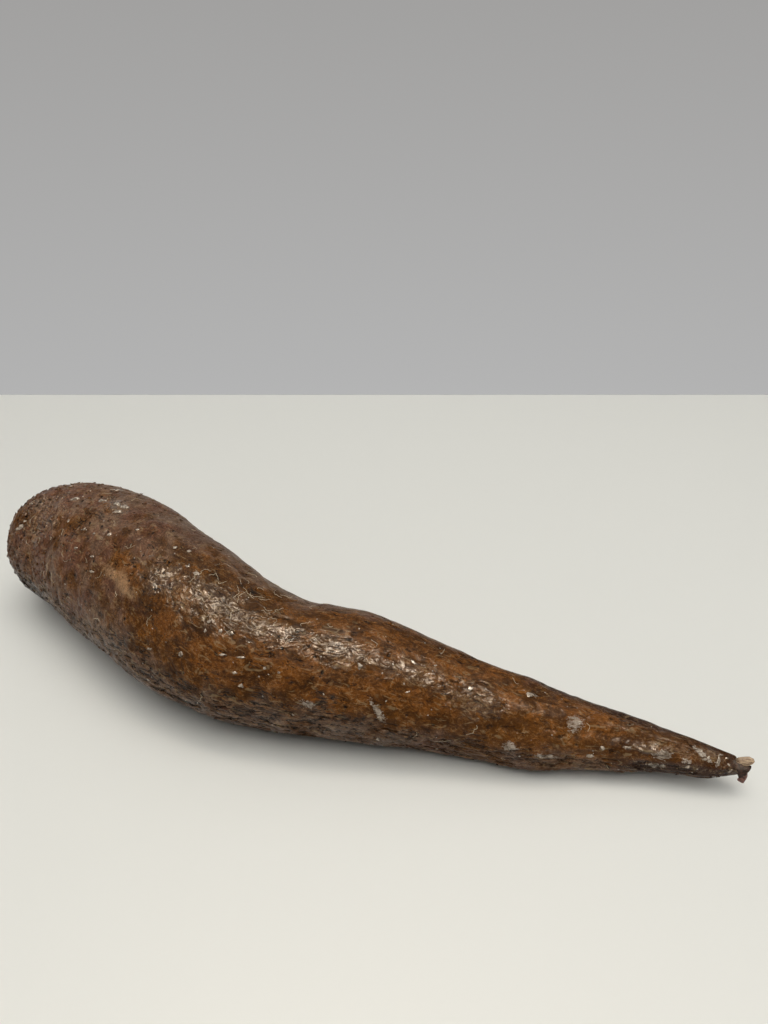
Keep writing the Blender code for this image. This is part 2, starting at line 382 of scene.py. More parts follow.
relief = {  # height of each kind of unevenness
    "Scale height": 0.15 * mm,
    "Scale tilt": 0.12 * mm,
    "Crinkle height": 0.35 * mm,
    "Blotch height": 0.5 * mm,
    "Lump height": 1.0 * mm,
    "Pit depth": 0.45 * mm,
    "Crack depth": 0.5 * mm,
}


neck = {  # the cut face: where it is, which way it faces, and what lies on it from the middle out
    "middle": (-136.5 * mm, 20.8 * mm, 29.2 * mm),
    "facing": (-0.8989, 0.3303, 0.2880),
    "rimFrom": 11.6 * mm,
    "rimLevels": (0.0, 0.4 * mm),
    # share of the rim's radius and height in millimetres
    "rings": (
        (0.03, 0.9), (0.07, 1.2), (0.1, 1.15), (0.13, 0.95), (0.16, 0.6), (0.2, 0.3), (0.25, 0.2),
        (0.32, 0.15), (0.42, 0.1), (0.52, 0.1), (0.62, 0.1), (0.72, 0.1), (0.8, 0.15), (0.86, 0.3),
        (0.91, 0.45), (0.93, 0.3), (0.92, -0.6)),
    "sides": 96,
    "uneven": 0.12 * mm,
    "lumps": 2.6 * mm,
    "grains": 1.1 * mm,
    "core": "#c2ab7c",
    "tired": "#8a7146",
    "cream": "#d3c4a0",
    "olive": "#a4926b",
    "bast": "#5f4530",
}


def newTree(name, inputs):
    # a geometry tree with named inputs; gives back the tree and the outputs of its input node
    tree = bpy.data.node_groups.new(name, "GeometryNodeTree")
    for label, kind in (("Geometry", "Geometry"), *inputs, ("Material", "Material")):
        tree.interface.new_socket(label, in_out="INPUT", socket_type="NodeSocket" + kind)
    tree.interface.new_socket("Geometry", in_out="OUTPUT", socket_type="NodeSocketGeometry")
    return tree, tree.nodes.new("NodeGroupInput").outputs


def closeTree(tree, geometry, given):
    # every geometry tree ends in smooth shading, plain geometry and its material
    geometry = addNode(tree, "SetShadeSmooth", (geometry,))
    geometry = addNode(tree, "RealizeInstances", (geometry,))
    geometry = addNode(tree, "SetMaterial", {"Geometry": geometry, "Material": given["Material"]})
    tree.links.new(geometry, tree.nodes.new("NodeGroupOutput").inputs["Geometry"])
    return tree


def barkTree():
    tree, given = newTree("growBark", (("Levels", "Int"), *((name, "Float") for name in relief)))
    add = partial(addNode, tree)
    fine = add("SubdivisionSurface", {"Mesh": given["Geometry"], "Level": given["Levels"]})
    straight, belt = (add("InputNamedAttribute", (name,), **asVector) for name in ("straight", "belt"))
    found = barkPattern(add, straight, belt)
    flaky = add("Math", (found["fatEnd"], found["under"]), "MAXIMUM")
    flaky = add("MapRange", (flaky, 0.0, 1.0, 0.12, 1.0))
    scale = add("Math", (found["scaleTone"], 0.5), "SUBTRACT")
    scale = add("Math", (scale, given["Scale height"]), "MULTIPLY")
    scale = add("Math", (found["scaleTilt"], given["Scale tilt"], scale), "MULTIPLY_ADD")
    uneven = add("Math", (found["blotch"], 0.5), "SUBTRACT")
    scale = add("Math", (uneven, given["Blotch height"], scale), "MULTIPLY_ADD")
    rise = add("Math", (scale, flaky), "MULTIPLY")
    for name in ("Crinkle", "Lump"):
        part = add("Math", (found[name.lower()], 0.5), "SUBTRACT")
        rise = add("Math", (part, given[name + " height"], rise), "MULTIPLY_ADD")
    for name in ("Pit", "Crack"):
        part = add("Math", (found[name.lower()], given[name + " depth"]), "MULTIPLY")
        rise = add("Math", (rise, part), "SUBTRACT")
    # nothing moves where the root touches the table or on the cut face, and little on the thin tip
    point = add("InputPosition")
    level = add("SeparateXYZ", (point,), out=2)
    facing, middle = Vector(neck["facing"]), Vector(neck["middle"])
    behind = add("VectorMath", (point, facing), "DOT_PRODUCT", out=1)
    behind = add("Math", (facing @ middle, behind), "SUBTRACT")
    girth = add("VectorMath", (straight, (0, 1, 1)), "MULTIPLY")
    girth = add("VectorMath", (girth,), "LENGTH", out=1)
    for field, start, full in ((level, 0.2, 2.0), (behind, 0.7, 2.6), (girth, 1.0, 9.0)):
        free = add("MapRange", (field, start * mm, full * mm), **eased)
        rise = add("Math", (rise, free), "MULTIPLY")
    shift = add("VectorMath", {0: add("InputNormal"), "Scale": rise}, "SCALE")
    moved = add("SetPosition", {"Geometry": fine, "Offset": shift})
    return closeTree(tree, moved, given)


def grown(name, mesh, tree, values):
    # runs a geometry tree on a mesh and keeps its result as a plain mesh object
    source = placed(name + "Source", mesh)
    modifier = source.modifiers.new("grow", "NODES")
    modifier.node_group = tree
    for item in tree.interface.items_tree:
        if item.item_type == "SOCKET" and item.in_out == "INPUT" and item.name in values:
            modifier[item.identifier] = values[item.name]
    bpy.context.view_layer.update()
    evaluated = source.evaluated_get(bpy.context.evaluated_depsgraph_get())
    result = bpy.data.meshes.new_from_object(evaluated)
    bpy.data.objects.remove(source, do_unlink=True)
    result.name = name
    return placed(name, result)


# spots seen on the root: millimetres along it, degrees round it (0 faces the camera's side, 90 up),
# half length and half width in millimetres, and the slant of the long way in degrees
spots = {
    "waxSpot": (
        (181.0, 17, 3.6, 1.0, -52), (221.3, 9, 2.0, 1.5, 0), (238.8, 61, 2.4, 2.0, 20),
        (266.2, 36, 2.5, 1.5, 15), (265, 1, 2.2, 0.8, 0), (277.0, 66, 3.4, 0.7, -30),
        (273.1, 30, 1.3, 0.8, 0), (282.1, 53, 1.4, 0.5, 80), (248.3, 28, 0.7, 0.6, 0),
        (245.2, 7, 0.9, 0.5, 0), (255.5, 36, 1.0, 0.35, 0), (232.3, -1, 3.0, 0.9, -5),
        (160, 13, 2.2, 1.1, -15), (224.4, 88, 1.6, 0.6, 10),
    ),
    "rubbedSpot": (
        (111.4, 44, 10, 8, 0), (125.5, 35, 11, 8, -10), (136.1, 28, 10, 6, 0), (87.0, 51, 5, 4, 0),
        (82, 56, 4, 3.4, 0), (195.1, 98, 20, 8, 0), (219, 68, 3.2, 3.0, 0), (242.7, 81, 12, 5, 0),
        (195.8, 36, 7, 4, 0), (177.5, 36, 11, 4, 0), (153.5, 40, 16, 7, -8), (168.5, 85, 16, 7, 0),
    ),
    "tanSpot": (
        (86.2, 45, 4.2, 2.8, -25), (79.4, 45.5, 4.4, 2.0, 0), (92.0, 42, 2.6, 1.4, -40),
    ),
    # where the wax pooled, along the band where the highlight falls; the whitish colour laid there is partly
    # a painted sheen
    "filmSpot": (
        (103, 64, 7.5, 5, 0), (111.4, 63, 8, 5.5, 0), (122.9, 68, 9, 6, 0), (142.5, 66, 10, 4.5, 0),
        (165.6, 61, 11, 4, 0), (187.5, 65, 8, 4, 0), (208.5, 52, 7, 3.5, 0), (28.5, 60, 9, 9, 0),
        (264, 42, 4, 1.6, 0), (99.8, 56, 4, 3, 0), (192.8, 71, 5, 3, 0), (59, 93, 6, 3, 0),
        (280, 62, 4, 2.0, 0),
    ),
    # dark bark along the tail's far edge, low on the front and at the torn tip, partly a painted shade
    "duskSpot": (
        (272, -14, 17, 4.0, 0), (256, 138, 42, 4.5, 0), (225, 138, 30, 5.0, 0), (24, -20, 16, 9, 0),
        (290, 0, 4.5, 14, 0),
    ),
}


def addSpots(mesh):
    # for each point, how far it lies from the nearest spot of each kind, 1 being the spot's rim
    flat = unrolled(mesh)
    for kind, places in spots.items():
        gap = np.full(len(mesh.vertices), 4.0)
        for along, angle, halfLength, halfWidth, slant in places:
            u, v = offsets(flat, along, angle)
            c, s = math.cos(math.radians(slant)), math.sin(math.radians(slant))
            gap = np.minimum(gap, np.hypot((u * c + v * s) / halfLength, (v * c - u * s) / halfWidth))
        addNote(mesh, kind, gap)


tone = {  # sRGB colours of the bark's layers
    "amberDark": "#3c2008",
    "amber": "#57340f",
    "orange": "#6e4118",
    "tan": "#9c7856",
    "outerRed": "#5d3b29",
    "outer": "#684f3d",
    # whitish wax film, partly a painted sheen
    "waxFilmAndSheen": "#7c6b50",
    "dirt": "#150d08",
    "thread": "#97805e",
    "wax": "#bfb5a7",
    "waxThin": "#817567",
    # dark bark, partly a painted shade
    "darkBarkAndShade": "#342723",
}


def waxedBark():
    # thin corky skin dipped in food wax: amber and mauve layers, dirt in the hollows, a broken wet gloss
    made, tree, shader = newMaterial("waxedPeriderm")
    add = partial(addNode, tree)
    straight, belt = (add("Attribute", out=1, attribute_name=name) for name in ("straight", "belt"))
    found = barkPattern(add, straight, belt)
    shade = {name: linear(value) for name, value in tone.items()}
    fine, crinkle, blotch = found["fine"], found["crinkle"], found["blotch"]
    film, patch = found["film"], found["patch"]
    fatEnd, tail, under, back = (found[name] for name in ("fatEnd", "tail", "under", "back"))
    # masks of the listed spots, their rims broken up by the finer patterns
    masks = {}
    for kind, broken, ragged, start, full in (
            ("waxSpot", fine, 3.4, 1.2, 0.7), ("rubbedSpot", blotch, 5.0, 1.6, 0.4),
            ("filmSpot", crinkle, 3.0, 1.5, 0.5), ("tanSpot", blotch, 3.0, 1.6, 0.3),
            ("duskSpot", blotch, 2.4, 1.3, 0.7)):
        gap = add("Attribute", out=2, attribute_name=kind)
        broken = add("Math", (0.5, broken), "SUBTRACT")
        gap = add("Math", (broken, ragged, gap), "MULTIPLY_ADD")
        masks[kind] = add("MapRange", (gap, start, full), **eased)
    # how much outer bark is left
    cover = addUp(add, -1.85, (patch, 3.2), (found["shoulder"], 0.65), (under, 0.75), (back, 0.6),
                  (tail, -0.2), (masks["rubbedSpot"], -0.9), (blotch, 1.1))
    cover = add("MapRange", (cover, 0.45, 1.15, 0.0, 0.95), **eased)
    # rubbed cork below, from dark amber to orange
    lively = add("Math", (film, 0.8, blotch), "MULTIPLY_ADD")
    warm = add("MapRange", (lively, 0.62, 1.0))
    cork = add("Mix", {0: warm, 6: shade["amberDark"], 7: shade["amber"]}, **asColour)
    vivid = add("Math", (masks["rubbedSpot"], 0.2, lively), "MULTIPLY_ADD")
    vivid = add("MapRange", (vivid, 0.92, 1.16, 0.0, 0.75))
    cork = add("Mix", {0: vivid, 6: cork, 7: shade["orange"]}, **asColour)
    # outer bark, reddish in blotches
    red = addUp(add, 1.0, (film, -1.0), (under, -0.12), (back, -0.08))
    red = add("MapRange", (red, 0.4, 0.58), **eased)
    outer = add("Mix", {0: red, 6: shade["outer"], 7: shade["outerRed"]}, **asColour)
    colour = add("Mix", {0: cover, 6: cork, 7: outer}, **asColour)
    # tan patches, and dark bark that is partly a painted shade along the far edge and low down
    for spot, layer in (("tanSpot", "tan"), ("duskSpot", "darkBarkAndShade")):
        shown = add("Math", (masks[spot], 0.8), "MULTIPLY")
        colour = add("Mix", {0: shown, 6: colour, 7: shade[layer]}, **asColour)
    # a thin whitish film where the wax lies thick, partly a painted sheen along the band where the highlight
    # falls
    waxFilmAndSheen = add("MapRange", (fine, 0.42, 0.66, 0.0, 0.38))
    waxFilmAndSheen = add("Math", (waxFilmAndSheen, masks["filmSpot"]), "MULTIPLY")
    colour = add("Mix", {0: waxFilmAndSheen, 6: colour, 7: shade["waxFilmAndSheen"]}, **asColour)
    # crests of the blotches, fine pattern and fibres lighter and hollows darker, partly dirt lying low,
    # partly painted light and shade; the underside darker, a painted shade; the fat end and tail lighter
    for field, start, full, dark, light in (
            (blotch, 0.36, 0.64, 0.7, 1.26), (fine, 0.34, 0.66, 0.62, 1.34),
            (found["fibre"], -1.0, 1.0, 0.86, 1.13), (fatEnd, 0.0, 1.0, 1.0, 1.2),
            (under, 0.0, 1.0, 1.0, 0.94), (tail, 0.0, 1.0, 1.0, 1.13)):
        lit = add("MapRange", (field, start, full, dark, light))
        colour = add("VectorMath", {0: colour, "Scale": lit}, "SCALE")
    patchy = add("Math", (fatEnd, 0.34), "MULTIPLY")
    lit = add("Math", (found["scaleTone"], 0.5), "SUBTRACT")
    lit = add("Math", (lit, patchy, 1.0), "MULTIPLY_ADD")
    colour = add("VectorMath", {0: colour, "Scale": lit}, "SCALE")
    # pale specks where the fine pattern peaks, a painted glint
    paintedGlint = add("MapRange", (fine, 0.57, 0.7, 0.0, 0.3))
    colour = add("Mix", {0: paintedGlint, 6: colour, 7: shade["thread"]}, **asColour)
    # dirt in pits, cracks and furrows, washed out towards the tip
    odds = add("MapRange", (film, 0.6, 0.4, 0.1, 0.55))
    odds = addUp(add, odds, (fatEnd, 0.45), (tail, -0.3))
    dirt = dimples(add, found["bent"], bark["dot"], bark["dotSize"], odds)
    deep = add("MapRange", (tail, 0.0, 1.0, 0.55, 0.25))
    furrow = add("Math", (windingLine(add, crinkle, 0.44, 0.016), deep), "MULTIPLY")
    for field in (found["pit"], found["crack"], furrow):
        dirt = add("Math", (dirt, field), "MAXIMUM")
    worn = add("MapRange", (tail, 0.0, 1.0, 1.0, 0.6))
    dirt = add("Math", (dirt, worn), "MULTIPLY")
    colour = add("Mix", {0: dirt, 6: colour, 7: shade["dirt"]}, **asColour)
    # fibres of bark that stand up through the wax
    thread = add("Math", (windingLine(add, crinkle, 0.575, 0.012), found["hair"]), "MAXIMUM")
    share = add("MapRange", (blotch, 0.48, 0.6, 0.0, 0.6))
    thread = add("Math", (thread, share), "MULTIPLY")
    share = add("MapRange", (crinkle, 0.48, 0.58, 0.0, 0.4))
    strand = add("Math", (found["strand"], share), "MULTIPLY")
    # specks of wax, more of them in the film spots, where they are partly a painted glint
    odds = add("MapRange", (patch, 0.4, 0.65, 0.06, 0.3))
    odds = add("Math", (masks["filmSpot"], 0.25, odds), "MULTIPLY_ADD")
    speck = dimples(add, found["bent"], bark["speck"], bark["speckSize"], odds)
    shown = add("Math", (speck, 0.6), "MULTIPLY")
    for share, layer in ((thread, "thread"), (strand, "thread"), (shown, "wax")):
        colour = add("Mix", {0: share, 6: colour, 7: shade[layer]}, **asColour)
    # scraped wax, thin at its rim
    thin = add("MapRange", (fine, 0.35, 0.6, 0.3, 0.95))
    streak = add("MapRange", (found["fibre"], -1.0, 1.0, 0.7))
    thin = add("Math", (thin, streak), "MULTIPLY")
    wax = add("Math", (masks["waxSpot"], thin), "MULTIPLY")
    thick = add("MapRange", (blotch, 0.42, 0.56))
    waxTone = add("Mix", {0: thick, 6: shade["waxThin"], 7: shade["wax"]}, **asColour)
    colour = add("Mix", {0: wax, 6: colour, 7: waxTone}, **asColour)
    # gloss where the wax pooled
    rough = add("MapRange", (blotch, 0.35, 0.65, 0.5, 0.27))
    wet = add("MapRange", (patch, 0.4, 0.62, 0.1, 0.4))
    wet = addUp(add, wet, (masks["filmSpot"], 1.0), (back, -0.3))
    pooled = add("MapRange", (found["lump"], 0.42, 0.56, 0.35, 1.1))
    wet = add("Math", (wet, pooled), "MULTIPLY", use_clamp=True)
    # crumpled wax over finer bark, heights in millimetres
    swell = add("TexNoise", {"Vector": found["bent"], "Scale": 1 / bark["swell"], "Detail": 1.0,
                             "Distortion": 0.8})
    waxy = add("Math", (masks["filmSpot"], 0.6, 0.45), "MULTIPLY_ADD")
    height = add("Math", (swell, waxy), "MULTIPLY")
    bumps = []
    for fields in (
            ((crinkle, 0.085), (fine, 0.008), (thread, 0.03), (strand, 0.04), (speck, 0.12), (wax, 0.1)),
            ((fine, 0.06), (found["fibre"], 0.006), (blotch, 0.12), (dirt, -0.12), (found["pit"], -0.25),
             (found["crack"], -0.25))):
        height = addUp(add, height, *fields)
        bumps.append(add("Bump", {"Strength": 1.0, "Distance": 1.0 * mm, "Height": height}))
    plug(tree, shader, {
        "Base Color": colour, "Roughness": rough, "Specular IOR Level": 0.06, "Normal": bumps[1],
        "Coat Weight": wet, "Coat Roughness": 0.06, "Coat IOR": 1.45, "Coat Normal": bumps[0]})
    return made


def sharesOfSkin(mesh):
    # how thickly each kind of small thing lies on the skin, written on its points
    along, _, turn = unrolled(mesh)
    belt = meshArray(mesh, "belt")
    points = meshArray(mesh) / mm

    def step(values, start, full):
        t = np.clip((values - start) / (full - start), 0, 1)
        return t * t * (3 - 2 * t)

    fatEnd = step(belt[:, 0], 0.42, 0.1)
    under = step(belt[:, 2], 0.3, -0.5)
    rim = step(belt[:, 0], 0.17, 0.06) * step(turn, -30, 10)
    torn = step(along, 279, 284) * step(along, 289, 287.5)
    behind = (np.array(neck["middle"]) / mm - points) @ np.array(neck["facing"])
    free = step(points[:, 2], 1.5, 4.0) * step(behind, 2, 5) * step(along, 289, 287.5)
    bend = np.exp(-((along - 134) / 17) ** 2) * np.exp(-((turn - 84) / 22) ** 2)
    # the band where the highlight falls; crumbs laid thickest there stand partly for a painted highlight
    highlightBand = np.exp(-((turn - 64) / 20) ** 2) * step(along, 80, 110) * step(along, 225, 190)
    shares = {
        "flakeShare": free * (0.008 + 0.14 * fatEnd + rim + 0.02 * under + 0.5 * torn),
        "stripShare": free * under * (0.25 + 0.75 * step(belt[:, 0], 0.15, 0.4)),
        "threadShare": free * (0.06 + 0.15 * fatEnd + bend),
        "crumbShare": free * (0.15 + 0.5 * bend + 0.7 * highlightBand + 0.12 * fatEnd),
    }
    for name, values in shares.items():
        addNote(mesh, name, np.clip(values, 0, 1))


def scatterPoints(add, given):
    # points on the skin, as thickly as the named share says, with rotations that follow the run of the root
    share = add("InputNamedAttribute", (given["Share"],))
    density = add("Math", (share, given["Density"]), "MULTIPLY")
    points = add("DistributePointsOnFaces", {"Mesh": given["Geometry"], "Density": density,
                                             "Seed": given["Seed"]})
    run = add("InputNamedAttribute", ("run",), **asVector)
    facing = add("AxesToRotation", (points.node.outputs["Normal"], run), primary_axis="Z", secondary_axis="X")
    angle = add("Math", (given["Turn"], -1.0), "MULTIPLY")
    angle = add("RandomValue", {2: angle, 3: given["Turn"], 8: 1}, out=1)
    spin = add("AxisAngleToRotation", {"Axis": (0, 0, 1), "Angle": angle})
    return points, add("RotateRotation", (facing, spin), rotation_space="LOCAL")


def laidOut(add, given, points, bit, facing, size, ragged):
    # a bit on each point, its corners shifted unevenly, the same for corners that lie together
    laid = add("InstanceOnPoints", {"Points": points, "Instance": bit, "Rotation": facing, "Scale": size})
    laid = add("RealizeInstances", (laid,))
    shift = add("TexNoise", {"Vector": add("InputPosition"), "Scale": 1 / ragged, "Detail": 2.0}, out=1)
    shift = add("VectorMath", (shift, (0.5, 0.5, 0.5)), "SUBTRACT")
    shift = add("VectorMath", {0: shift, "Scale": given["Ragged"]}, "SCALE")
    return add("SetPosition", {"Geometry": laid, "Offset": shift})


def ontoSkin(add, given, laid, rise):
    # every corner moved to a height over the nearest point of the skin
    skin = given["Geometry"]
    facing = add("SampleNearestSurface", {"Mesh": skin, "Value": add("InputNormal")}, **asVector)
    lift = add("VectorMath", {0: facing, "Scale": rise}, "SCALE")
    place = add("VectorMath", (add("Proximity", (skin,)), lift), "ADD")
    return add("SetPosition", {"Geometry": laid, "Position": place})


def scalesTree():
    # thin lens-shaped bits of bark laid on the skin, each lifted at one end
    floats = ("Density", "Turn", "Length least", "Length most", "Width share", "Thickness", "Lift", "Ragged")
    tree, given = newTree("layScales", (("Share", "String"), ("Seed", "Int"), ("Sides", "Int"),
                                        *((name, "Float") for name in floats)))
    add = partial(addNode, tree)
    points, facing = scatterPoints(add, given)
    length = add("RandomValue", {2: given["Length least"], 3: given["Length most"], 8: 2}, out=1)
    width = add("Math", (length, given["Width share"]), "MULTIPLY")
    least = add("Math", (given["Thickness"], 0.5), "MULTIPLY")
    thick = add("RandomValue", {2: least, 3: given["Thickness"], 8: 3}, out=1)
    lift = add("RandomValue", {2: 0.0, 3: given["Lift"], 8: 4}, out=1)
    shift = add("RandomValue", {0: (0, -0.02, -0.02), 1: (0, 0.02, 0.02), 8: 5}, **asVector)
    for name, value, kind in (("thick", thick, {}), ("lift", lift, {}), ("shift", shift, asVector)):
        points = add("StoreNamedAttribute", {"Geometry": points, "Name": name, "Value": value}, **kind)
    lens = add("MeshUVSphere", {"Segments": given["Sides"], "Rings": 4, "Radius": 0.5})
    corner = {"Geometry": lens, "Name": "corner", "Value": add("InputPosition")}
    lens = add("StoreNamedAttribute", corner, **asVector)
    size = add("CombineXYZ", (length, width, thick))
    laid = laidOut(add, given, points, lens, facing, size, 1.3 * mm)
    # bottom sunk a little into the skin, one end lifted
    thick, lift = (add("InputNamedAttribute", (name,)) for name in ("thick", "lift"))
    corner, shift = (add("InputNamedAttribute", (name,), **asVector) for name in ("corner", "shift"))
    rise = add("SeparateXYZ", (corner,), out=2)
    rise = add("Math", (rise, 0.3), "ADD")
    rise = add("Math", (rise, thick), "MULTIPLY")
    end = add("SeparateXYZ", (corner,))
    end = add("MapRange", (end, 0.0, 0.5), **eased)
    rise = add("Math", (end, lift, rise), "MULTIPLY_ADD")
    laid = ontoSkin(add, given, laid, rise)
    # the skin's notes for the material, shifted so that each bit has its own piece of the pattern
    for name in ("straight", "belt", *spots):
        kind = {} if name in spots else asVector
        note = add("InputNamedAttribute", (name,), **kind)
        note = add("SampleNearestSurface", {"Mesh": given["Geometry"], "Value": note}, **kind)
        if name == "straight":
            note = add("VectorMath", (note, shift), "ADD")
        laid = add("StoreNamedAttribute", {"Geometry": laid, "Name": name, "Value": note}, **kind)
    return closeTree(tree, laid, given)


def threadsTree():
    # fine curled fibres lying on the skin
    floats = ("Density", "Turn", "Radius least", "Radius most", "Thickness", "Ragged")
    tree, given = newTree("layThreads", (("Share", "String"), ("Seed", "Int"),
                                         *((name, "Float") for name in floats)))
    add = partial(addNode, tree)
    points, facing = scatterPoints(add, given)
    arc = add("CurveArc", {"Resolution": 12, "Radius": 1.0, "Start Angle": -1.2, "Sweep Angle": 2.4})
    radius = add("RandomValue", {2: given["Radius least"], 3: given["Radius most"], 8: 2}, out=1)
    flat = add("RandomValue", {2: 0.3, 3: 1.0, 8: 3}, out=1)
    flat = add("Math", (radius, flat), "MULTIPLY")
    size = add("CombineXYZ", (flat, radius, radius))
    laid = laidOut(add, given, points, arc, facing, size, 1.8 * mm)
    rise, half = (add("Math", (given["Thickness"], share), "MULTIPLY") for share in (0.25, 0.5))
    laid = ontoSkin(add, given, laid, rise)
    ring = add("CurvePrimitiveCircle", {"Resolution": 5, "Radius": half})
    laid = add("CurveToMesh", {"Curve": laid, "Profile Curve": ring, "Fill Caps": True})
    return closeTree(tree, laid, given)


def plainMaterial(name, given):
    # the colour of small plain things, paler in clouds
    made, tree, shader = newMaterial(name)
    add = partial(addNode, tree)
    cloud = add("TexNoise", {"Vector": add("TexCoord", out=3), "Scale": 1 / given["cloud"], "Detail": 3.0})
    cloud = add("MapRange", (cloud, 0.35, 0.65))
    colour = add("Mix", {0: cloud, 6: linear(given["colour"]), 7: linear(given["paler"])}, **asColour)
    plug(tree, shader, {"Base Color": colour, "Roughness": given["roughness"], "Specular IOR Level": 0.4})
    return made


flakes = {  # small bits of dry bark that stand off the skin, most of them at the fat end
    "Share": "flakeShare",
    "Density": 120000.0,  # to a square metre
    "Seed": 3,
    "Turn": math.pi,
    "Length least": 0.8 * mm,
    "Length most": 2.3 * mm,
    "Width share": 0.65,
    "Thickness": 0.5 * mm,
    "Lift": 0.45 * mm,
    "Ragged": 0.8 * mm,
    "Sides": 8,
}
strips = {  # longer layers of bark that have come loose lengthwise
    "Share": "stripShare",
    "Density": 9000.0,
    "Seed": 8,
    "Turn": 0.22,
    "Length least": 4 * mm,
    "Length most": 13 * mm,
    "Width share": 0.17,
    "Thickness": 0.5 * mm,
    "Lift": 0.3 * mm,
    "Ragged": 1.6 * mm,
    "Sides": 12,
}
# crumbs of wax, thickest along the band where the highlight falls, where they are partly a painted highlight
crumbs = {  # crumbs of wax
    "Share": "crumbShare",
    "Density": 16000.0,
    "Seed": 5,
    "Turn": math.pi,
    "Length least": 0.15 * mm,
    "Length most": 0.8 * mm,
    "Width share": 0.55,
    "Thickness": 0.25 * mm,
    "Lift": 0.0,
    "Ragged": 0.6 * mm,
    "Sides": 6,
    "colour": "#8f8272",  # loose wax, greyish with dust
    "paler": "#cbbfae",
    "cloud": 4 * mm,
    "roughness": 0.3,
}
threads = {  # curled fibres
    "Share": "threadShare",
    "Density": 42000.0,
    "Seed": 6,
    "Turn": math.pi,
    "Radius least": 0.8 * mm,
    "Radius most": 2.6 * mm,
    "Thickness": 0.18 * mm,
    "Ragged": 3.4 * mm,
    "colour": "#7e6c55",  # dried bark fibre, straw coloured
    "paler": "#baa98c",
    "cloud": 5 * mm,
    "roughness": 0.4,
}


chips = {  # chips of wax seen on the root, their places and sizes written like the spots'
    "rise": 0.22 * mm,
    "sides": 11,
    "near": 1.2,  # millimetres round a chip that give its middle and facing
    "over": 0.02 * mm,
    "ragged": 0.9,  # shares by which the outline and the height vary
    "bumpy": 0.5,
    # share of the half sizes and of the rise
    "rings": ((1.0, -0.5), (0.95, 0.35), (0.6, 0.85)),
    "colour": "#5d4f41",  # cracked wax with dirt under it
    "paler": "#bfb09e",
    "cloud": 1.1 * mm,
    "roughness": 0.25,
    "places": (
        (19.1, 43, 2.7, 0.8, 38), (37.8, 82, 2.0, 1.2, 32), (27.5, 97, 1.5, 0.8, -73),
        (50.7, 92, 1.8, 1.1, 29), (58.7, 95, 1.2, 1.2, 88), (62.3, 96, 2.0, 1.1, 40),
        (62.3, 88, 2.0, 0.9, 41), (47.9, 116, 2.4, 1.2, 75), (44.1, 62, 0.7, 0.7, -27),
        (68.6, 68, 0.8, 0.7, 56), (61.6, 62, 0.6, 0.6, 56), (78.3, 83, 0.7, 0.6, 32),
        (55.1, 62, 1.3, 0.6, 35), (56.7, 46, 0.8, 0.5, 19), (66.5, 48, 0.8, 0.5, 21),
        (19.1, 65, 0.7, 0.6, 8), (20.0, 48, 0.7, 0.6, 67), (39.0, 25, 0.8, 0.8, -37),
        (97.0, 89, 0.8, 0.6, 56), (102.2, 94, 1.0, 0.6, 30), (99.8, 56, 1.2, 0.7, -10),
        (69.6, 39, 1.3, 0.5, 8), (111.0, 80, 1.2, 0.8, 2), (106.5, 82, 1.0, 0.5, 46),
        (128.5, 52, 0.7, 0.6, 24), (123.5, 47, 0.7, 0.5, -65), (132.0, 54, 0.7, 0.5, -26),
        (123.5, 54, 0.9, 0.5, 27), (136.0, 26, 0.7, 0.4, 16), (149.5, 35, 0.5, 0.4, 12),
        (116.9, 24, 0.9, 0.9, -24), (104.4, 16, 0.9, 0.5, 22), (145.1, 36, 0.5, 0.4, 14),
        (136.9, 39, 1.8, 0.3, 17), (131.2, 36, 1.3, 0.3, 15), (137.9, 16, 0.5, 0.4, 15),
        (102.5, -10, 0.7, 0.6, 27), (173.0, 54, 0.9, 0.8, -26), (187.2, 74, 1.4, 0.5, -29),
        (138.5, 17, 0.9, 0.6, -20), (188.5, 43, 0.7, 0.3, 35), (180.5, -22, 1.2, 0.8, -70),
        (145.3, -42, 2.2, 0.6, 50), (155.2, 1, 0.4, 0.4, -78), (198.5, -36, 1.3, 0.6, -65),
        (248.2, 28, 0.9, 0.5, -21), (255.8, 37, 1.2, 0.5, 12), (245.5, 6, 0.9, 0.5, 33),
        (273.7, 14, 1.1, 0.6, 40), (205.9, 66, 0.9, 0.7, 43), (223.2, 86, 1.3, 0.9, 28),
        (276.9, 72, 0.5, 0.3, 30), (279.2, 59, 0.6, 0.4, 60), (282.0, 57, 1.3, 0.35, 75),
        (282.3, 82, 0.9, 0.3, 20), (285.2, 51, 0.5, 0.35, 0), (285.9, 21, 0.8, 0.3, 50),
        (284.2, 79, 0.6, 0.3, 10), (287.2, 32, 0.5, 0.3, 70),
    ),
}


def spokes(sides):
    # the angle of each corner of a ring, with its cosine and sine
    angles = [2 * math.pi * number / sides for number in range(sides)]
    return [(angle, math.cos(angle), math.sin(angle)) for angle in angles]


def lofted(name, solids, material):
    # closed skins through rings of points, each drawn to a point at both ends, in one piece on the root
    shell = bmesh.new()
    for rings, ends in solids:
        rows = [[shell.verts.new(point) for point in ring] for ring in rings]
        after = [*range(1, len(rings[0])), 0]
        for first, second in zip(rows, rows[1:]):
            for i, j in enumerate(after):
                shell.faces.new((first[i], first[j], second[j], second[i]))
        for row, end in zip((rows[0], rows[-1]), ends):
            end = shell.verts.new(end)
            for i, j in enumerate(after):
                shell.faces.new((row[i], row[j], end))
    bmesh.ops.recalc_face_normals(shell, faces=shell.faces)
    mesh = bpy.data.meshes.new(name)
    shell.to_mesh(mesh)
    shell.free()
    mesh.shade_smooth()
    mesh.materials.append(material)
    made = placed(name, mesh)
    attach(made, "root")
    return made


def loft(name, rings, material):
    # one such skin, drawn to the middle of its first and last ring
    middles = [sum(ring, Vector()) / len(ring) for ring in (rings[0], rings[-1])]
    return lofted(name, [(rings, middles)], material)


